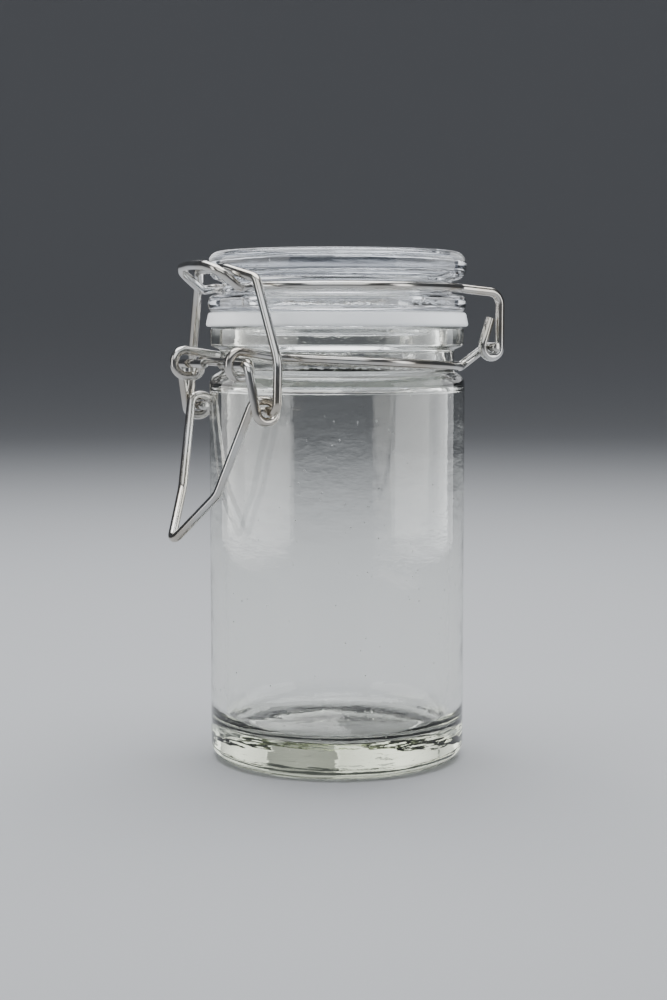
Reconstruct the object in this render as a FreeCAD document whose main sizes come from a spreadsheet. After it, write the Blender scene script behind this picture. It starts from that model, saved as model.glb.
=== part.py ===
import FreeCAD
import Part
import Sketcher
import math
import os

V = FreeCAD.Vector
doc = FreeCAD.newDocument("clip_top_canister")

# Driving dimensions in millimetres. The jar stands on Z = 0 and its axis is the Z axis.
# The clasp is at the front (-Y) and the hinge at the rear (+Y).
DIMENSIONS = [
    ("base_height", 0.0),
    # glass jar
    ("body_radius", 26.0), ("inner_radius", 23.0), ("floor_height", 6.6),
    ("punt_radius", 17.5), ("punt_depth", 1.4), ("punt_edge", 19.5),
    ("shoulder_height", 78.0), ("inner_shoulder", 76.0), ("throat_height", 78.0),
    ("groove_radius", 23.8), ("groove_bottom", 79.2), ("groove_top", 83.5),
    ("finish_radius", 25.8), ("finish_bottom", 84.3), ("rim_height", 88.0), ("mouth_radius", 20.2),
    ("foot_round", 3.4), ("shoulder_round", 2.4), ("inner_foot_round", 4.5), ("edge_round", 0.6),
    # glass lid
    ("plug_radius", 19.2), ("plug_bottom", 86.2), ("hollow_radius", 15.8), ("hollow_top", 96.0),
    ("lid_seat", 91.0), ("lid_radius", 26.2), ("lid_flange_top", 94.3),
    ("lid_groove_radius", 23.2), ("lid_groove_bottom", 94.7), ("lid_groove_top", 97.1),
    ("lid_cap_bottom", 97.9), ("lid_top", 103.2),
    ("dish_edge", 19.0), ("dish_radius", 17.4), ("dish_floor", 102.2), ("cap_round", 2.4), ("flange_round", 1.2),
    # seal
    ("seal_inner", 19.5), ("seal_top_radius", 26.1), ("seal_foot_radius", 26.7),
    ("seal_bottom", 88.15), ("seal_top", 90.95), ("seal_round", 0.5),
    # wire stock, the two rings and the three pivots
    ("wire_radius", 0.9),
    ("lid_ring_radius", 24.4), ("lid_ring_height", 95.9),
    ("neck_ring_radius", 25.0), ("neck_ring_height", 81.2), ("neck_ring_rise", 0.05),
    ("hinge_y", 28.4), ("hinge_z", 84.0), ("hinge_eye_radius", 2.0), ("hinge_eye_x", 13.5),
    ("clasp_y", -27.3), ("clasp_z", 80.7), ("neck_eye_x", 14.6), ("neck_eye_radius", 2.55),
    ("link_y", -23.4), ("link_z", 72.0), ("link_loop_radius", 2.05),
]

sheet = doc.addObject("Spreadsheet::Sheet", "dims")
DIM = {}
for row, (alias, value) in enumerate(DIMENSIONS, start=1):
    sheet.set(f"A{row}", alias)
    sheet.set(f"B{row}", str(value))
    sheet.setAlias(f"B{row}", alias)
    DIM[alias] = value
doc.recompute()


def edges_at(shape, radius, height):
    """Names of the circular edges of that radius at that height."""
    found = []
    for number, edge in enumerate(shape.Edges, start=1):
        curve = edge.Curve
        if not isinstance(curve, Part.Circle):
            continue
        if abs(curve.Radius - radius) < 1e-4 and abs(curve.Center.z - height) < 1e-4:
            found.append(f"Edge{number}")
    if not found:
        raise RuntimeError(f"no circular edge of radius {radius} at height {height}")
    return found


def turned_body(name, profile, rounds):
    """A solid turned about Z. The profile is a ring of (radius, height) names from the sheet, with None for
    the axis. The rounds are (radius, height, fillet) names of the circular edges to blend."""
    body = doc.addObject("PartDesign::Body", name)
    body.Label = name
    sketch = body.newObject("Sketcher::SketchObject", name + "_profile")
    plane = [f for f in body.Origin.OriginFeatures if f.Role == "XZ_Plane"][0]
    sketch.AttachmentSupport = [(plane, "")]
    sketch.MapMode = "FlatFace"
    points = [V(DIM[r] if r else 0.0, DIM[z], 0) for r, z in profile]
    count = len(points)
    for i in range(count):
        sketch.addGeometry(Part.LineSegment(points[i], points[(i + 1) % count]), False)
    for i in range(count):
        sketch.addConstraint(Sketcher.Constraint("Coincident", i, 2, (i + 1) % count, 1))
    for i, (r, z) in enumerate(profile):
        if r is None:
            sketch.addConstraint(Sketcher.Constraint("PointOnObject", i, 1, -2))
        else:
            at = sketch.addConstraint(Sketcher.Constraint("DistanceX", -1, 1, i, 1, DIM[r]))
            sketch.setExpression(f"Constraints[{at}]", f"dims.{r}")
        at = sketch.addConstraint(Sketcher.Constraint("DistanceY", -1, 1, i, 1, DIM[z]))
        sketch.setExpression(f"Constraints[{at}]", f"dims.{z}")
    last = body.newObject("PartDesign::Revolution", name + "_turned")
    last.Profile = sketch
    last.ReferenceAxis = (sketch, ["V_Axis"])
    last.Angle = 360.0
    doc.recompute()
    for number, (r, z, size) in enumerate(rounds, start=1):
        blend = body.newObject("PartDesign::Fillet", f"{name}_round_{number}")
        blend.Base = (last, edges_at(last.Shape, DIM[r], DIM[z]))
        blend.setExpression("Radius", f"dims.{size}")
        doc.recompute()
        last = blend
    body.Tip = last
    doc.recompute()
    return body


def bent_path(corners):
    """Straight runs joined by tangent arcs, through (point, bend radius) corners."""
    points = [p for p, _ in corners]
    edges = []
    start = points[0]
    for i in range(1, len(points) - 1):
        here, bend = corners[i]
        before = (here - points[i - 1]).normalize()
        after = (points[i + 1] - here).normalize()
        turn = before.getAngle(after)
        reach = bend * math.tan(turn / 2)
        arc_start = here - before * reach
        arc_end = here + after * reach
        middle = here + (after - before).normalize() * (bend / math.cos(turn / 2) - bend)
        run = (arc_start - start).dot(before)
        if run < -1e-6:
            raise RuntimeError(f"bend {i} needs {-run:.3f} mm more straight run before it")
        if run > 1e-5:
            edges.append(Part.LineSegment(start, arc_start).toShape())
        edges.append(Part.Arc(start if run <= 1e-5 else arc_start, middle, arc_end).toShape())
        start = arc_end
    edges.append(Part.LineSegment(start, points[-1]).toShape())
    return Part.Wire(edges)


def both_sides(half):
    """A whole path from its +X half, which runs from one end of the wire towards the plane X = 0."""
    other = [(V(-p.x, p.y, p.z), bend) for p, bend in reversed(half)]
    if abs(half[-1][0].x) < 1e-9:
        other = other[1:]
    return half + other


def ring_corner(radius, height, rear_degrees, front_degrees):
    """The corner whose bend is the ring's arc between two angles measured from +X."""
    middle = math.radians((rear_degrees - front_degrees) / 2)
    reach = radius / math.cos(math.radians((rear_degrees + front_degrees) / 2))
    return V(reach * math.cos(middle), reach * math.sin(middle), height), radius


def ring_exit(radius, height, degrees, x):
    """Where the ring's tangent at that angle from +X crosses the plane of that X."""
    angle = math.radians(degrees)
    along = (radius * math.cos(angle) - x) / math.sin(angle)
    return V(x, radius * math.sin(angle) + along * math.cos(angle), height)


def bent_wire(name, corners):
    """Round stock of the common wire size, swept along a bent path."""
    path = doc.addObject("Part::Feature", name + "_path")
    path.Shape = bent_path(corners)
    section = doc.addObject("Part::Circle", name + "_section")
    section.setExpression("Radius", "dims.wire_radius")
    heading = (corners[1][0] - corners[0][0]).normalize()
    section.Placement = FreeCAD.Placement(corners[0][0], FreeCAD.Rotation(V(0, 0, 1), heading))
    doc.recompute()
    sweep = doc.addObject("Part::Sweep", name)
    sweep.Sections = [section]
    sweep.Spine = (path, [f"Edge{i + 1}" for i in range(len(path.Shape.Edges))])
    sweep.Solid = True
    sweep.Frenet = False
    sweep.Label = name
    doc.recompute()
    stock = math.pi * DIM["wire_radius"] ** 2 * path.Shape.Length
    if abs(sweep.Shape.Volume - stock) > 0.01 * stock:
        raise RuntimeError(f"{name}: swept volume {sweep.Shape.Volume:.1f} is not the stock's {stock:.1f}")
    return sweep


# Glass jar: thick foot with a shallow punt under it, straight wall, square shoulder, wire groove, wide finish.
glass_jar = turned_body(
    "glass_jar",
    [(None, "punt_depth"), ("punt_radius", "punt_depth"), ("punt_edge", "base_height"),
     ("body_radius", "base_height"), ("body_radius", "shoulder_height"), ("groove_radius", "groove_bottom"),
     ("groove_radius", "groove_top"), ("finish_radius", "finish_bottom"), ("finish_radius", "rim_height"),
     ("mouth_radius", "rim_height"), ("mouth_radius", "throat_height"), ("inner_radius", "inner_shoulder"),
     ("inner_radius", "floor_height"), (None, "floor_height")],
    [("body_radius", "base_height", "foot_round"), ("body_radius", "shoulder_height", "shoulder_round"),
     ("inner_radius", "floor_height", "inner_foot_round"), ("inner_radius", "inner_shoulder", "shoulder_round"),
     ("finish_radius", "rim_height", "edge_round"), ("mouth_radius", "rim_height", "edge_round"),
     ("finish_radius", "finish_bottom", "edge_round"), ("groove_radius", "groove_bottom", "edge_round"),
     ("punt_edge", "base_height", "edge_round")],
)

# Glass lid: plug that drops into the mouth, hollow under it, lower flange, wire groove, rounded cap, dished top.
glass_lid = turned_body(
    "glass_lid",
    [(None, "hollow_top"), ("hollow_radius", "hollow_top"), ("hollow_radius", "plug_bottom"),
     ("plug_radius", "plug_bottom"), ("plug_radius", "lid_seat"), ("lid_radius", "lid_seat"),
     ("lid_radius", "lid_flange_top"), ("lid_groove_radius", "lid_groove_bottom"),
     ("lid_groove_radius", "lid_groove_top"), ("lid_radius", "lid_cap_bottom"), ("lid_radius", "lid_top"),
     ("dish_edge", "lid_top"), ("dish_radius", "dish_floor"), (None, "dish_floor")],
    [("lid_radius", "lid_top", "cap_round"), ("lid_radius", "lid_cap_bottom", "cap_round"),
     ("lid_radius", "lid_flange_top", "flange_round"), ("lid_radius", "lid_seat", "flange_round"),
     ("hollow_radius", "hollow_top", "cap_round"), ("plug_radius", "plug_bottom", "edge_round"),
     ("hollow_radius", "plug_bottom", "edge_round"), ("dish_edge", "lid_top", "edge_round")],
)

# Seal: a soft ring round the plug, under the lower flange, a little wider where it meets the rim.
seal_ring = turned_body(
    "seal_ring",
    [("seal_inner", "seal_bottom"), ("seal_foot_radius", "seal_bottom"), ("seal_top_radius", "seal_top"),
     ("seal_inner", "seal_top")],
    [("seal_foot_radius", "seal_bottom", "seal_round"), ("seal_top_radius", "seal_top", "seal_round")],
)

# Lid wire: one length. From its rear end it closes an eye round the hinge pin, climbs, runs in to the lid's
# groove, follows it forward and makes the raised tongue that the bail hooks behind.
LID_REAR_ANGLE = 52.0
LID_FRONT_ANGLE = 60.0
TONGUE_X = 10.0
ring_r = DIM["lid_ring_radius"]
ring_z = DIM["lid_ring_height"]
eye_x = DIM["hinge_eye_x"]
eye_r = DIM["hinge_eye_radius"]
hinge_y = DIM["hinge_y"]
hinge_z = DIM["hinge_z"]
lid_wire = bent_wire("lid_wire", both_sides([
    (V(eye_x, hinge_y - 0.2, hinge_z + 5.9), 0.0),
    (V(eye_x, hinge_y - eye_r, hinge_z + 0.6), 3.0),
    (V(eye_x, hinge_y - eye_r, hinge_z - eye_r), eye_r),
    (V(eye_x, hinge_y + eye_r, hinge_z - eye_r), eye_r),
    (V(eye_x, hinge_y + eye_r, ring_z - 0.9), 2.6),
    (ring_exit(ring_r, ring_z, LID_REAR_ANGLE, eye_x), 2.4),
    ring_corner(ring_r, ring_z, LID_REAR_ANGLE, LID_FRONT_ANGLE),
    (ring_exit(ring_r, ring_z, -LID_FRONT_ANGLE, TONGUE_X), 1.8),
    (V(TONGUE_X, -25.5, ring_z - 0.5), 2.4),
    (V(9.5, -29.9, ring_z + 3.0), 3.0),
    (V(6.0, -31.3, ring_z + 4.0), 4.0),
    (V(0.0, -31.9, ring_z + 4.2), 12.0),
]))

# Neck wire: one length. Its rear ends are the two hinge pins, its ring lies in the jar's groove, and each
# front end coils into an eye for the lever before a straight span joins the two eyes. The latched clasp
# pulls the front up, so the ring rises towards it.
NECK_REAR_ANGLE = 58.0
NECK_FRONT_ANGLE = 50.0
PIN_END_X = 16.0
PIN_LEAD_X = 11.0
ring_r = DIM["neck_ring_radius"]
ring_z = DIM["neck_ring_height"]
eye_x = DIM["neck_eye_x"]
eye_r = DIM["neck_eye_radius"]
clasp_y = DIM["clasp_y"]
clasp_z = DIM["clasp_z"]


def pulled_up(corner):
    """A corner of the neck ring, raised in proportion to how far forward it lies."""
    point, bend = corner
    return V(point.x, point.y, point.z - DIM["neck_ring_rise"] * point.y), bend


neck_wire = bent_wire("neck_wire", both_sides([
    (V(PIN_END_X, hinge_y, hinge_z), 0.0),
    (V(PIN_LEAD_X, hinge_y, hinge_z), 1.5),
    pulled_up((ring_exit(ring_r, ring_z, NECK_REAR_ANGLE, PIN_LEAD_X), 2.4)),
    pulled_up(ring_corner(ring_r, ring_z, NECK_REAR_ANGLE, NECK_FRONT_ANGLE)),
    pulled_up((ring_exit(ring_r, ring_z, -NECK_FRONT_ANGLE, eye_x), 2.0)),
    (V(eye_x, clasp_y - eye_r, clasp_z + eye_r + 0.5), eye_r * 0.9),
    (V(eye_x - 0.4, clasp_y - eye_r, clasp_z - eye_r), eye_r * 0.97),
    (V(eye_x - 1.4, clasp_y + eye_r - 0.1, clasp_z - eye_r), 1.4),
    (V(eye_x - 2.2, clasp_y + eye_r - 0.1, clasp_z + 0.5), 1.2),
]))

# Lever: one length. Each end is a pin in a neck eye, then an arm, a coil for the bail and one side of the
# handle. The two sides bend outward and meet in a V.
LEVER_PIN_END_X = 4.5
link_y = DIM["link_y"]
link_z = DIM["link_z"]
coil_r = DIM["link_loop_radius"]
lever = bent_wire("lever", both_sides([
    (V(LEVER_PIN_END_X, clasp_y, clasp_z), 0.0),
    (V(17.5, clasp_y, clasp_z), 1.6),
    (V(18.2, link_y - coil_r, link_z - coil_r), coil_r * 0.97),
    (V(17.5, link_y + coil_r, link_z - coil_r), coil_r * 0.97),
    (V(16.7, link_y + coil_r, link_z + coil_r), coil_r * 0.97),
    (V(16.0, link_y - coil_r, link_z + coil_r), coil_r * 0.97),
    (V(9.2, -30.3, 55.6), 5.0),
    (V(0.0, -36.4, 45.6), 2.0),
]))

# Bail: one length. Each end is a long pin through a lever coil, then a leg, and a bowed bar joins the legs
# behind the tongue of the lid wire.
BAIL_PIN_END_X = 14.0
bail = bent_wire("bail", both_sides([
    (V(BAIL_PIN_END_X, link_y, link_z), 0.0),
    (V(22.3, link_y, link_z), 1.8),
    (V(21.9, -23.0, 81.5), 8.0),
    (V(14.8, -24.3, 97.3), 2.2),
    (V(7.0, -27.4, 99.4), 6.0),
]))

PARTS = [glass_jar, glass_lid, seal_ring, lid_wire, neck_wire, lever, bail]
doc.recompute()
for item in doc.Objects:
    if "Invalid" in item.State or "Error" in item.State:
        raise RuntimeError(f"{item.Name}: {item.State}")
os.makedirs("parts", exist_ok=True)
for item in PARTS:
    shape = item.Shape
    if shape.isNull() or not shape.isValid() or len(shape.Solids) != 1:
        raise RuntimeError(f"{item.Label}: not one valid solid")
    shape.exportStep(f"parts/{item.Label}.step")
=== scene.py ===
import bmesh
import bpy
import math
from mathutils import Matrix, Vector


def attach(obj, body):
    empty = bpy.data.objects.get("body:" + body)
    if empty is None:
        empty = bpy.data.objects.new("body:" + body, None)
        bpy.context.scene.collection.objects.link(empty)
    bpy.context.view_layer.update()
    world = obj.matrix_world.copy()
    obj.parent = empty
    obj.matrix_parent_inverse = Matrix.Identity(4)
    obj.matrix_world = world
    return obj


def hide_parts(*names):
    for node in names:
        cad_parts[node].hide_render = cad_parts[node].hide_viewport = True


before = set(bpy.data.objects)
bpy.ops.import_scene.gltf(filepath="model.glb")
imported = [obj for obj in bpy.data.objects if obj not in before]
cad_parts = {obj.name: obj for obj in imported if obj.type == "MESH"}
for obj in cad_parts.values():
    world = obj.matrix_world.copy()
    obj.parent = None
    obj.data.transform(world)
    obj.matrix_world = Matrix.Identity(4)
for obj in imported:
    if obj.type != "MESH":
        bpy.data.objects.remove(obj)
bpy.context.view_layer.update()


# The jar is one pressing of clear soda-lime glass, with a thick foot over a shallow punt and a straight wall.
# Its square shoulder runs into a groove for the neck wire, and the wide finish above it carries the seal.
# The glass is a little wavy, streaked in the foot, and yellow-green where it is thick.
MM = 0.001
TURN_STEPS = 160
ROUND_STEPS = 6
SHARP_ANGLE = math.radians(32.0)
MERGE_DISTANCE = 1e-7
AXIS_TOLERANCE = 1e-9


def finished_piece(name, bm):
    """A smooth-shaded object at the origin from a bmesh, with its hard edges kept hard."""
    bmesh.ops.remove_doubles(bm, verts=bm.verts[:], dist=MERGE_DISTANCE)
    bmesh.ops.recalc_face_normals(bm, faces=bm.faces[:])
    for face in bm.faces:
        face.smooth = True
    for edge in bm.edges:
        edge.smooth = edge.calc_face_angle(0.0) < SHARP_ANGLE
    mesh = bpy.data.meshes.new(name)
    bm.to_mesh(mesh)
    bm.free()
    piece = bpy.data.objects.new(name, mesh)
    bpy.context.scene.collection.objects.link(piece)
    return piece


def turned_piece(name, outline):
    """A piece turned about the Z axis from its half section, as (radius, height, corner round) in mm."""
    bm = bmesh.new()
    corners = [bm.verts.new((radius * MM, 0.0, height * MM)) for radius, height, _ in outline]
    bm.faces.new(corners)
    places = [corner.co.copy() for corner in corners]
    for i, (_, _, rounding) in enumerate(outline):
        if rounding == 0.0:
            continue
        into = places[i] - places[i - 1]
        out = places[(i + 1) % len(places)] - places[i]
        reach = rounding * MM * math.tan(into.angle(out) / 2)
        bmesh.ops.bevel(
            bm, geom=[corners[i]], offset=reach, offset_type="OFFSET", segments=ROUND_STEPS, profile=0.5,
            affect="VERTICES", material=-1, clamp_overlap=False)
    bmesh.ops.delete(bm, geom=bm.faces[:], context="FACES_ONLY")
    on_axis = [e for e in bm.edges if all(abs(v.co.x) < AXIS_TOLERANCE for v in e.verts)]
    bmesh.ops.delete(bm, geom=on_axis, context="EDGES")
    bmesh.ops.spin(
        bm, geom=bm.verts[:] + bm.edges[:], cent=(0, 0, 0), axis=(0, 0, 1), angle=math.tau, steps=TURN_STEPS,
        use_merge=True)
    return finished_piece(name, bm)


def new_finish(name):
    """A node material, with its Principled shader, its linking call and the object's own coordinates."""
    finish = bpy.data.materials.new(name)
    finish.use_nodes = True
    shader = finish.node_tree.nodes["Principled BSDF"]
    place = finish.node_tree.nodes.new("ShaderNodeTexCoord").outputs["Object"]
    return finish, shader, finish.node_tree.links.new, place


def finish_node(finish, kind, **constants):
    """A node added to a finish, with constants for its sockets: from_min sets the one called From Min."""
    node = finish.node_tree.nodes.new("ShaderNode" + kind)
    for socket, value in constants.items():
        node.inputs[socket.replace("_", " ").title()].default_value = value
    return node


def combined(finish, operation, first, second):
    """The output of a Math node that takes one output and then another output or a number."""
    node = finish_node(finish, "Math")
    node.operation = operation
    finish.node_tree.links.new(first, node.inputs[0])
    if isinstance(second, float):
        node.inputs[1].default_value = second
    else:
        finish.node_tree.links.new(second, node.inputs[1])
    return node.outputs["Value"]


GLASS_IOR = 1.51
STREAK_FADE = 0.005
SEED_FROST = 0.7


def pressed_glass(name, tint, streak_height, streak_top):
    """Clear pressed glass. Its faces are faintly wavy, finely chilled by the mould, and streaked level up
    to a height in metres. Small frosted seeds dot it, and its colour builds up with depth."""
    finish, shader, join, place = new_finish(name)
    shader.inputs["Base Color"].default_value = (0.99, 0.993, 0.993, 1.0)
    shader.inputs["Transmission Weight"].default_value = 1.0
    shader.inputs["IOR"].default_value = GLASS_IOR

    flow = finish_node(finish, "Mapping", scale=(1.0, 1.0, 2.2))
    broad = finish_node(finish, "TexNoise", scale=75.0, detail=2.0)
    fine = finish_node(finish, "TexNoise", scale=850.0, detail=2.0)
    wave = finish_node(finish, "Bump", strength=0.6, distance=0.0001)
    chill = finish_node(finish, "Bump", distance=0.000009)
    join(place, flow.inputs["Vector"])
    for noise, bump in ((broad, wave), (fine, chill)):
        join(flow.outputs["Vector"], noise.inputs["Vector"])
        join(noise.outputs["Fac"], bump.inputs["Height"])

    level = finish_node(finish, "Mapping", scale=(85.0, 85.0, 400.0))
    streak = finish_node(finish, "TexNoise", scale=1.0, detail=2.0)
    height = finish_node(finish, "SeparateXYZ")
    settled = finish_node(
        finish, "MapRange", from_min=streak_top - STREAK_FADE, from_max=streak_top, to_min=1.0, to_max=0.0)
    settle = finish_node(finish, "Bump", distance=streak_height)
    join(place, level.inputs["Vector"])
    join(level.outputs["Vector"], streak.inputs["Vector"])
    join(place, height.inputs["Vector"])
    join(height.outputs["Z"], settled.inputs["Value"])
    streaked = combined(finish, "MULTIPLY", streak.outputs["Fac"], settled.outputs["Result"])
    join(streaked, settle.inputs["Height"])

    cells = finish_node(finish, "TexVoronoi", scale=320.0)
    speck = finish_node(finish, "MapRange", from_min=0.03, from_max=0.06, to_min=1.0, to_max=0.0)
    seed = finish_node(finish, "Bump", distance=0.00003)
    join(place, cells.inputs["Vector"])
    join(cells.outputs["Distance"], speck.inputs["Value"])
    join(speck.outputs["Result"], seed.inputs["Height"])

    join(wave.outputs["Normal"], chill.inputs["Normal"])
    join(chill.outputs["Normal"], settle.inputs["Normal"])
    join(settle.outputs["Normal"], seed.inputs["Normal"])
    join(seed.outputs["Normal"], shader.inputs["Normal"])

    haze = finish_node(finish, "MapRange", from_min=0.35, from_max=0.75, to_min=0.004, to_max=0.03)
    join(broad.outputs["Fac"], haze.inputs["Value"])
    frosted = combined(finish, "MULTIPLY", speck.outputs["Result"], SEED_FROST)
    join(combined(finish, "MAXIMUM", haze.outputs["Result"], frosted), shader.inputs["Roughness"])

    depth = finish_node(finish, "VolumeAbsorption", color=tint, density=20.0)
    join(depth.outputs["Volume"], finish.node_tree.nodes["Material Output"].inputs["Volume"])
    return finish


PUNT_RADIUS = 17.5
PUNT_DEPTH = 1.4
PUNT_ROUND = 0.8
STAND_RADIUS = 19.5
BODY_RADIUS = 26.0
FOOT_ROUND = 3.4
BORE_RADIUS = 23.0
FLOOR_HEIGHT = 6.6
FLOOR_ROUND = 4.5
SHOULDER_HEIGHT = 78.0
SHOULDER_ROUND = 2.4
SHOULDER_RISE = 1.2
GROOVE_RADIUS = 23.8
GROOVE_ROUND = 0.5
FINISH_RADIUS = 25.8
FINISH_HEIGHT = 84.3
FINISH_SLOPE = 0.8
RIM_HEIGHT = 88.0
MOUTH_RADIUS = 20.2
THROAT_DROP = 2.0
THROAT_ROUND = 1.2
EDGE_ROUND = 0.6
JAR_TINT = (0.85, 0.90, 0.67, 1.0)
FOOT_STREAKS = 0.00019
FOOT_STREAK_TOP = 0.012
jar = turned_piece("jar_pressing", [
    (0.0, PUNT_DEPTH, 0.0), (PUNT_RADIUS, PUNT_DEPTH, PUNT_ROUND), (STAND_RADIUS, 0.0, EDGE_ROUND),
    (BODY_RADIUS, 0.0, FOOT_ROUND), (BODY_RADIUS, SHOULDER_HEIGHT, SHOULDER_ROUND),
    (GROOVE_RADIUS, SHOULDER_HEIGHT + SHOULDER_RISE, EDGE_ROUND),
    (GROOVE_RADIUS, FINISH_HEIGHT - FINISH_SLOPE, GROOVE_ROUND),
    (FINISH_RADIUS, FINISH_HEIGHT, EDGE_ROUND), (FINISH_RADIUS, RIM_HEIGHT, EDGE_ROUND),
    (MOUTH_RADIUS, RIM_HEIGHT, EDGE_ROUND), (MOUTH_RADIUS, SHOULDER_HEIGHT, THROAT_ROUND),
    (BORE_RADIUS, SHOULDER_HEIGHT - THROAT_DROP, SHOULDER_ROUND), (BORE_RADIUS, FLOOR_HEIGHT, FLOOR_ROUND),
    (0.0, FLOOR_HEIGHT, 0.0)])
jar.data.materials.append(pressed_glass("jar_glass", JAR_TINT, FOOT_STREAKS, FOOT_STREAK_TOP))
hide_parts("glass_jar")
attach(jar, "jar")


# The neck wire is one length of bright drawn steel, bent cold round the jar's groove.
# Its two rear ends point outward as hinge pins, and at the front it is curled into two eyes for the lever.
# The latched clasp pulls the front up, so the ring rises towards it.
WIRE_RADIUS = 0.9
WIRE_SIDES = 28
BEND_STEP = math.radians(9.0)
FEWEST_BEND_STEPS = 3
CUT_CHAMFER = 0.16
HINGE_Y = 28.4
HINGE_Z = 84.0
CLASP_Y = -27.3
CLASP_Z = 80.7


def ring_corner(radius, height, rear_degrees, front_degrees):
    """The corner whose bend is the ring itself, between two angles measured from +X."""
    middle = math.radians((rear_degrees - front_degrees) / 2)
    reach = radius / math.cos(math.radians((rear_degrees + front_degrees) / 2))
    return reach * math.cos(middle), reach * math.sin(middle), height, radius


def ring_exit(radius, height, degrees, x, bend):
    """The corner where the ring's tangent at that angle from +X crosses the plane of that X."""
    angle = math.radians(degrees)
    along = (radius * math.cos(angle) - x) / math.sin(angle)
    return x, radius * math.sin(angle) + along * math.cos(angle), height, bend


def fed_straight(bm, front, move):
    """Feeds the wire's front end forward by a vector, and returns the new front end's edges."""
    grown = bmesh.ops.extrude_edge_only(bm, edges=front)["geom"]
    moved = [g for g in grown if isinstance(g, bmesh.types.BMVert)]
    bmesh.ops.translate(bm, verts=moved, vec=move)
    ahead = set(moved)
    return [g for g in grown if isinstance(g, bmesh.types.BMEdge) and ahead.issuperset(g.verts)]


def bent_wire(name, half):
    """Round wire, fed straight and bent at each corner in turn. The corners of its +X half are
    (x, y, z, bend radius) in mm, from the wire's end to the plane X = 0, and the rest mirrors them."""
    mirrored = [(-x, y, z, bend) for x, y, z, bend in reversed(half)]
    corners = half + (mirrored[1:] if half[-1][0] == 0.0 else mirrored)
    points = [Vector(corner[:3]) * MM for corner in corners]
    bm = bmesh.new()
    heading = (points[1] - points[0]).to_track_quat("Z", "Y").to_matrix().to_4x4()
    bmesh.ops.create_circle(
        bm, segments=WIRE_SIDES, radius=WIRE_RADIUS * MM, matrix=Matrix.Translation(points[0]) @ heading)
    tail = bm.edges[:]
    front = tail
    at = points[0]
    for i in range(1, len(points) - 1):
        into = (points[i] - points[i - 1]).normalized()
        out = (points[i + 1] - points[i]).normalized()
        turn = into.angle(out)
        bend = corners[i][3] * MM
        reach = bend * math.tan(turn / 2)
        front = fed_straight(bm, front, points[i] - into * reach - at)
        swept = bmesh.ops.spin(
            bm, geom=front, cent=points[i] + (out - into).normalized() * bend / math.cos(turn / 2),
            axis=into.cross(out).normalized(), angle=turn,
            steps=max(FEWEST_BEND_STEPS, math.ceil(turn / BEND_STEP)))
        front = [g for g in swept["geom_last"] if isinstance(g, bmesh.types.BMEdge)]
        at = points[i] + out * reach
    front = fed_straight(bm, front, points[-1] - at)
    for end in (tail, front):
        bmesh.ops.edgeloop_fill(bm, edges=end)
    bmesh.ops.bevel(
        bm, geom=tail + front, offset=CUT_CHAMFER * MM, segments=2, profile=0.5, affect="EDGES", material=-1)
    return finished_piece(name, bm)


def drawn_steel():
    """Bright drawn wire: finely scuffed, with a slight warm cast where it is duller."""
    finish, shader, join, place = new_finish("drawn_steel")
    shader.inputs["Metallic"].default_value = 1.0
    scuff = finish_node(finish, "TexNoise", scale=900.0, detail=4.0)
    patch = finish_node(finish, "TexNoise", scale=110.0)
    gloss = finish_node(finish, "MapRange", from_min=0.35, from_max=0.7, to_min=0.13, to_max=0.21)
    cast = finish_node(finish, "ValToRGB")
    bright, dull = cast.color_ramp.elements
    bright.position = 0.35
    bright.color = (0.61, 0.61, 0.60, 1.0)
    dull.position = 0.7
    dull.color = (0.52, 0.48, 0.42, 1.0)
    grain = finish_node(finish, "Bump", strength=0.08, distance=0.00003)
    for noise in (scuff, patch):
        join(place, noise.inputs["Vector"])
    join(scuff.outputs["Fac"], gloss.inputs["Value"])
    join(gloss.outputs["Result"], shader.inputs["Roughness"])
    join(patch.outputs["Fac"], cast.inputs["Fac"])
    join(cast.outputs["Color"], shader.inputs["Base Color"])
    join(scuff.outputs["Fac"], grain.inputs["Height"])
    join(grain.outputs["Normal"], shader.inputs["Normal"])
    return finish


steel = drawn_steel()


def wire_piece(name, half, node, body):
    """A bent wire in bright steel that stands for a CAD node and moves with its body."""
    piece = bent_wire(name, half)
    piece.data.materials.append(steel)
    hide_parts(node)
    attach(piece, body)
    return piece


HINGE_PIN_TIP_X = 16.0
HINGE_PIN_ROOT_X = 11.0
NECK_RING = (25.0, 81.2)
NECK_RING_REAR = 58.0
NECK_RING_FRONT = 50.0
NECK_RING_RISE = 0.05
NECK_EYE_X = 14.6
NECK_EYE = 2.55


def pulled_up(x, y, z, bend):
    """A corner of the neck ring, raised in proportion to how far forward it lies."""
    return x, y, z - NECK_RING_RISE * y, bend


neck_wire = wire_piece("neck_ring_wire", [
    (HINGE_PIN_TIP_X, HINGE_Y, HINGE_Z, 0.0), (HINGE_PIN_ROOT_X, HINGE_Y, HINGE_Z, 1.5),
    pulled_up(*ring_exit(*NECK_RING, NECK_RING_REAR, HINGE_PIN_ROOT_X, 2.4)),
    pulled_up(*ring_corner(*NECK_RING, NECK_RING_REAR, NECK_RING_FRONT)),
    pulled_up(*ring_exit(*NECK_RING, -NECK_RING_FRONT, NECK_EYE_X, 2.0)),
    (NECK_EYE_X, CLASP_Y - NECK_EYE, CLASP_Z + NECK_EYE + 0.5, NECK_EYE * 0.9),
    (NECK_EYE_X - 0.4, CLASP_Y - NECK_EYE, CLASP_Z - NECK_EYE, NECK_EYE * 0.97),
    (NECK_EYE_X - 1.4, CLASP_Y + NECK_EYE - 0.1, CLASP_Z - NECK_EYE, 1.4),
    (NECK_EYE_X - 2.2, CLASP_Y + NECK_EYE - 0.1, CLASP_Z + 0.5, 1.2)], "neck_wire", "jar")


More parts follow.
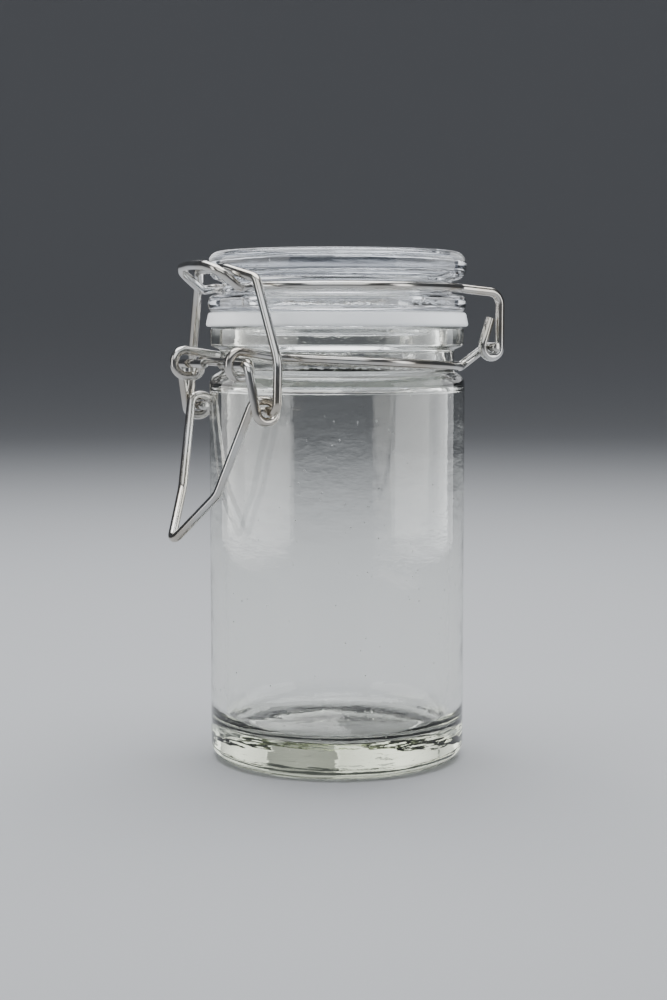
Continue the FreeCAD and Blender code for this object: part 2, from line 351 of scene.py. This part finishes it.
# The lid is a second pressing of the same glass. A hollow plug drops into the mouth under a lower flange.
# A groove for the lid wire parts the flange from a rounded cap, whose top is slightly dished.
# It is streaked all over. Its glass is tinted bluer than the jar's, which is painted cool light from above,
# since the glass is the same.
HOLLOW_RADIUS = 15.8
HOLLOW_TOP = 96.0
HOLLOW_ROUND = 2.4
PLUG_RADIUS = 19.2
PLUG_BOTTOM = 86.2
PLUG_ROOT_ROUND = 0.4
LID_RADIUS = 26.2
FLANGE_BOTTOM = 91.0
FLANGE_TOP = 94.3
FLANGE_ROUND = 1.2
FLANGE_SLOPE = 0.4
LID_GROOVE_RADIUS = 23.2
CAP_BOTTOM = 97.9
CAP_TOP = 103.2
CAP_ROUND = 2.4
CAP_SLOPE = 0.8
DISH_RIM_RADIUS = 19.0
DISH_RADIUS = 17.4
DISH_DEPTH = 1.0
# The lid's bluer tint is painted cool light from above, not the glass's own colour.
LID_PAINTED_COOL_TINT = (0.86, 0.90, 0.97, 1.0)
LID_STREAKS = 0.00005
ABOVE_LID = 0.2
lid = turned_piece("lid_pressing", [
    (0.0, HOLLOW_TOP, 0.0), (HOLLOW_RADIUS, HOLLOW_TOP, HOLLOW_ROUND),
    (HOLLOW_RADIUS, PLUG_BOTTOM, EDGE_ROUND), (PLUG_RADIUS, PLUG_BOTTOM, EDGE_ROUND),
    (PLUG_RADIUS, FLANGE_BOTTOM, PLUG_ROOT_ROUND),
    (LID_RADIUS, FLANGE_BOTTOM, FLANGE_ROUND), (LID_RADIUS, FLANGE_TOP, FLANGE_ROUND),
    (LID_GROOVE_RADIUS, FLANGE_TOP + FLANGE_SLOPE, GROOVE_ROUND),
    (LID_GROOVE_RADIUS, CAP_BOTTOM - CAP_SLOPE, GROOVE_ROUND),
    (LID_RADIUS, CAP_BOTTOM, CAP_ROUND), (LID_RADIUS, CAP_TOP, CAP_ROUND),
    (DISH_RIM_RADIUS, CAP_TOP, EDGE_ROUND), (DISH_RADIUS, CAP_TOP - DISH_DEPTH, EDGE_ROUND),
    (0.0, CAP_TOP - DISH_DEPTH, 0.0)])
lid.data.materials.append(pressed_glass("lid_glass", LID_PAINTED_COOL_TINT, LID_STREAKS, ABOVE_LID))
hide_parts("glass_lid")
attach(lid, "lid")


# The seal is a moulded ring of milky silicone, stretched over the lid's plug and squeezed on the rim.
# It is soft and satin, and lets a little light into its edge.
SEAL_BORE = 19.5
SEAL_BORE_ROUND = 0.2
SEAL_BOTTOM = 88.15
SEAL_TOP = 90.95
SEAL_BOTTOM_RADIUS = 26.7
SEAL_TOP_RADIUS = 26.1
SEAL_EDGE_ROUND = 0.5
seal = turned_piece("silicone_seal", [
    (SEAL_BORE, SEAL_BOTTOM, SEAL_BORE_ROUND), (SEAL_BOTTOM_RADIUS, SEAL_BOTTOM, SEAL_EDGE_ROUND),
    (SEAL_TOP_RADIUS, SEAL_TOP, SEAL_EDGE_ROUND), (SEAL_BORE, SEAL_TOP, SEAL_BORE_ROUND)])


def milky_silicone():
    """Satin silicone: pale and milky, with light scattering a little way in."""
    finish, shader, join, place = new_finish("milky_silicone")
    shader.inputs["Base Color"].default_value = (0.90, 0.935, 0.98, 1.0)
    shader.inputs["Subsurface Weight"].default_value = 0.6
    shader.inputs["Subsurface Radius"].default_value = (1.0, 1.0, 1.0)
    shader.inputs["Subsurface Scale"].default_value = 0.002
    cloud = finish_node(finish, "TexNoise", scale=300.0, detail=3.0)
    satin = finish_node(finish, "MapRange", to_min=0.3, to_max=0.55)
    skin = finish_node(finish, "Bump", strength=0.3, distance=0.00005)
    join(place, cloud.inputs["Vector"])
    join(cloud.outputs["Fac"], satin.inputs["Value"])
    join(satin.outputs["Result"], shader.inputs["Roughness"])
    join(cloud.outputs["Fac"], skin.inputs["Height"])
    join(skin.outputs["Normal"], shader.inputs["Normal"])
    return finish


seal.data.materials.append(milky_silicone())
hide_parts("seal_ring")
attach(seal, "lid")


# The lid wire is one length: a closed eye round each hinge pin, a riser to the lid's groove, and the ring.
# At the front the two sides run out and join in a raised tongue, which the bail hooks behind.
LID_RING_Z = 95.9
LID_RING = (24.4, LID_RING_Z)
LID_RING_REAR = 52.0
LID_RING_FRONT = 60.0
HINGE_EYE_X = 13.5
HINGE_EYE = 2.0
TONGUE_X = 10.0
lid_wire = wire_piece("lid_ring_wire", [
    (HINGE_EYE_X, HINGE_Y - 0.2, HINGE_Z + 5.9, 0.0), (HINGE_EYE_X, HINGE_Y - HINGE_EYE, HINGE_Z + 0.6, 3.0),
    (HINGE_EYE_X, HINGE_Y - HINGE_EYE, HINGE_Z - HINGE_EYE, HINGE_EYE),
    (HINGE_EYE_X, HINGE_Y + HINGE_EYE, HINGE_Z - HINGE_EYE, HINGE_EYE),
    (HINGE_EYE_X, HINGE_Y + HINGE_EYE, LID_RING_Z - 0.9, 2.6),
    ring_exit(*LID_RING, LID_RING_REAR, HINGE_EYE_X, 2.4),
    ring_corner(*LID_RING, LID_RING_REAR, LID_RING_FRONT),
    ring_exit(*LID_RING, -LID_RING_FRONT, TONGUE_X, 1.8), (TONGUE_X, -25.5, LID_RING_Z - 0.5, 2.4),
    (9.5, -29.9, LID_RING_Z + 3.0, 3.0), (6.0, -31.3, LID_RING_Z + 4.0, 4.0),
    (0.0, -31.9, LID_RING_Z + 4.2, 12.0)], "lid_wire", "lid")


# The lever is one length. Each end is a pin in an eye of the neck wire, then a short arm and a coil that
# holds the bail's pin. The two sides of the handle bend outward from there and meet in a V for the fingertip.
LINK_Y = -23.4
LINK_Z = 72.0
COIL = 2.05
COIL_BEND = COIL * 0.97
LEVER_PIN_TIP_X = 4.5
LEVER_PIN_ROOT_X = 17.5
lever = wire_piece("lever_wire", [
    (LEVER_PIN_TIP_X, CLASP_Y, CLASP_Z, 0.0), (LEVER_PIN_ROOT_X, CLASP_Y, CLASP_Z, 1.6),
    (18.2, LINK_Y - COIL, LINK_Z - COIL, COIL_BEND), (17.5, LINK_Y + COIL, LINK_Z - COIL, COIL_BEND),
    (16.7, LINK_Y + COIL, LINK_Z + COIL, COIL_BEND), (16.0, LINK_Y - COIL, LINK_Z + COIL, COIL_BEND),
    (9.2, -30.3, 55.6, 5.0), (0.0, -36.4, 45.6, 2.0)], "lever", "lever")


# The bail is one length. Each end is a long pin through a lever coil, then a leg that leans in.
# A bowed bar joins the legs over the lid's edge, behind the tongue.
BAIL_PIN_TIP_X = 14.0
BAIL_PIN_ROOT_X = 22.3
bail = wire_piece("bail_wire", [
    (BAIL_PIN_TIP_X, LINK_Y, LINK_Z, 0.0), (BAIL_PIN_ROOT_X, LINK_Y, LINK_Z, 1.8), (21.9, -23.0, 81.5, 8.0),
    (14.8, -24.3, 97.3, 2.2), (7.0, -27.4, 99.4, 6.0)], "bail", "bail")


# The studio is a plain pale floor that curves up into a round wall, under one large soft box.
# Panels stand low round the jar for its glass to reflect, and strips for its wires, flagged off all else.
# Sizes from here on are in metres.
FLOOR_RADIUS = 3.4
COVE_ROUND = 2.2
COVE_ROUND_STEPS = 24
COVE_TURN_STEPS = 96
WALL_HEIGHT = 2.8
FLOOR_GREY = (0.55, 0.56, 0.58, 1.0)


def studio_cove():
    """A pale floor with its wall, turned about the jar's axis and seen from inside."""
    bm = bmesh.new()
    middle = bm.verts.new((0.0, 0.0, 0.0))
    foot = bm.verts.new((FLOOR_RADIUS, 0.0, 0.0))
    top = bm.verts.new((FLOOR_RADIUS, 0.0, WALL_HEIGHT))
    cap = bm.verts.new((0.0, 0.0, WALL_HEIGHT))
    bm.faces.new((middle, foot, top, cap))
    bmesh.ops.bevel(
        bm, geom=[foot], offset=COVE_ROUND, offset_type="OFFSET", segments=COVE_ROUND_STEPS, profile=0.5,
        affect="VERTICES", material=-1)
    bmesh.ops.delete(bm, geom=bm.faces[:], context="FACES_ONLY")
    spare = [e for e in bm.edges if cap in e.verts]
    bmesh.ops.delete(bm, geom=spare, context="EDGES")
    bmesh.ops.spin(
        bm, geom=bm.verts[:] + bm.edges[:], cent=(0, 0, 0), axis=(0, 0, 1), angle=math.tau,
        steps=COVE_TURN_STEPS, use_merge=True)
    cove = finished_piece("studio_cove", bm)
    paint = bpy.data.materials.new("pale_floor")
    paint.use_nodes = True
    shader = paint.node_tree.nodes["Principled BSDF"]
    shader.inputs["Base Color"].default_value = FLOOR_GREY
    shader.inputs["Roughness"].default_value = 0.75
    cove.data.materials.append(paint)
    return cove


studio_cove()

CAMERA_AZIMUTH = 64.0
JAR_MIDDLE = (0.0, 0.0, 0.06)
CLASP_MIDDLE = (0.0, 0.0, 0.09)
OPEN_BEAM = 180.0
WARM_WHITE = (1.0, 0.99, 0.97)
NEUTRAL_WHITE = (0.98, 0.99, 1.0)
COOL_WHITE = (0.95, 0.98, 1.0)


def round_jar(turn, distance, height):
    """A place at a distance from the jar's axis, turned from the camera's side by that many degrees."""
    angle = math.radians(CAMERA_AZIMUTH + turn)
    return distance * math.sin(angle), -distance * math.cos(angle), height


def soft_box(name, place, aim, size, power, colour, beam=OPEN_BEAM):
    """A rectangular soft light at a place, facing a point, with its beam open or narrowed to an angle."""
    lamp = bpy.data.lights.new(name, "AREA")
    lamp.shape = "RECTANGLE"
    lamp.size, lamp.size_y = size
    lamp.energy = power
    lamp.color = colour
    lamp.spread = math.radians(beam)
    light = bpy.data.objects.new(name, lamp)
    light.location = place
    light.rotation_euler = (Vector(aim) - Vector(place)).to_track_quat("-Z", "Y").to_euler()
    light.visible_camera = False
    bpy.context.scene.collection.objects.link(light)
    return light


def flag_off_all_but(name, pieces, lights):
    """Lets some lights reach only some pieces, so that they leave no marks on the floor."""
    lit = bpy.data.collections.new(name)
    for piece in pieces:
        lit.objects.link(piece)
    for light in lights:
        light.light_linking.receiver_collection = lit


TOP_BOX_PLACE = (-0.10, 0.05, 0.72)
TOP_BOX_SIZE = (0.8, 0.8)
TOP_BOX_POWER = 8.0
TOP_BOX_WHITE = (0.97, 0.985, 1.0)
TOP_BOX_BEAM = 160.0
soft_box("top_box", TOP_BOX_PLACE, JAR_MIDDLE, TOP_BOX_SIZE, TOP_BOX_POWER, TOP_BOX_WHITE, TOP_BOX_BEAM)

# Two panels beside the camera put the pale upright patches on the wall, and a row behind fills the foot.
# The side panels are listed by name, place, width, power and colour.
# The back ones are listed by turn from the side facing the camera, width, and power per metre of width.
SIDE_PANEL_HEIGHT = 0.17
SIDE_PANEL_AIM = (0.0, 0.0, SIDE_PANEL_HEIGHT)
SIDE_PANEL_TALL = 0.34
SIDE_PANELS = (
    ("left_panel", (-0.105, -0.325), 0.60, 1.4, WARM_WHITE),
    ("right_panel", (0.169, 0.318), 0.54, 1.25, (0.96, 0.98, 1.0)))
BACK_PANEL_AIM = (0.0, 0.0, 0.12)
BACK_PANEL_DISTANCE = 1.1
BACK_PANEL_HEIGHT = 0.42
BACK_PANEL_TALL = 0.42
BACK_PANEL_BEAM = 80.0
BACK_PANEL_ROW = (
    (-75.0, 0.84, 0.40), (-38.0, 0.66, 0.40), (-11.0, 0.46, 0.10), (20.0, 0.84, 0.44), (65.0, 1.00, 0.40))
panels = []
for name, (x, y), width, power, colour in SIDE_PANELS:
    panels.append(soft_box(
        name, (x, y, SIDE_PANEL_HEIGHT), SIDE_PANEL_AIM, (width, SIDE_PANEL_TALL), power, colour))
for turn, width, power_per_metre in BACK_PANEL_ROW:
    panels.append(soft_box(
        "back_panel", round_jar(180.0 + turn, BACK_PANEL_DISTANCE, BACK_PANEL_HEIGHT), BACK_PANEL_AIM,
        (width, BACK_PANEL_TALL), power_per_metre * width, NEUTRAL_WHITE, BACK_PANEL_BEAM))
flag_off_all_but("glass_alone", (jar, lid, seal), panels)

# Tall narrow strips draw bright lines along the wires.
STRIP_TURNS = (-62.0, 62.0, 180.0)
STRIP_DISTANCE = 0.5
STRIP_HEIGHT = 0.17
STRIP_SIZE = (0.14, 0.44)
STRIP_POWER = 0.55
wires = (neck_wire, lid_wire, lever, bail)
strips = [
    soft_box(
        "wire_strip", round_jar(turn, STRIP_DISTANCE, STRIP_HEIGHT), CLASP_MIDDLE, STRIP_SIZE, STRIP_POWER,
        NEUTRAL_WHITE)
    for turn in STRIP_TURNS]
flag_off_all_but("wires_alone", wires, strips)

# A box over the camera lights the upper faces of the lid, seal and wires.
FRONT_BOX_DISTANCE = 0.5
FRONT_BOX_HEIGHT = 0.46
FRONT_BOX_SIZE = (0.60, 0.45)
FRONT_BOX_POWER = 1.5
front_box = soft_box(
    "front_box", round_jar(0.0, FRONT_BOX_DISTANCE, FRONT_BOX_HEIGHT), CLASP_MIDDLE, FRONT_BOX_SIZE,
    FRONT_BOX_POWER, COOL_WHITE)
flag_off_all_but("upper_pieces", (lid, seal) + wires, [front_box])

world = bpy.data.worlds.new("studio_air")
bpy.context.scene.world = world
world.use_nodes = True
air = world.node_tree.nodes["Background"]
air.inputs["Color"].default_value = (0.30, 0.31, 0.33, 1.0)
air.inputs["Strength"].default_value = 0.55


# The camera stands 64 degrees round from the clasp, about level with the rim, and looks 5 degrees down.
# Its lens gives the photograph's frame, 667 by 1000 pixels, with the jar's axis a little right of the middle.
CAMERA_DISTANCE = 0.376
CAMERA_HEIGHT = 0.08646
CAMERA_PITCH = math.radians(5.124)
FOCAL_PIXELS = 1840.0
FRAME_HEIGHT = 1000.0
AXIS_OFFSET_PIXELS = 3.5
lens = bpy.data.cameras.new("studio_camera")
lens.lens = lens.sensor_width * FOCAL_PIXELS / FRAME_HEIGHT
lens.clip_start = 0.01
camera = bpy.data.objects.new("studio_camera", lens)
camera.location = round_jar(0.0, CAMERA_DISTANCE, CAMERA_HEIGHT)
camera.rotation_euler = (
    math.pi / 2 - CAMERA_PITCH, 0.0,
    math.radians(CAMERA_AZIMUTH) + math.atan(AXIS_OFFSET_PIXELS / FOCAL_PIXELS))
bpy.context.scene.collection.objects.link(camera)
bpy.context.scene.camera = camera
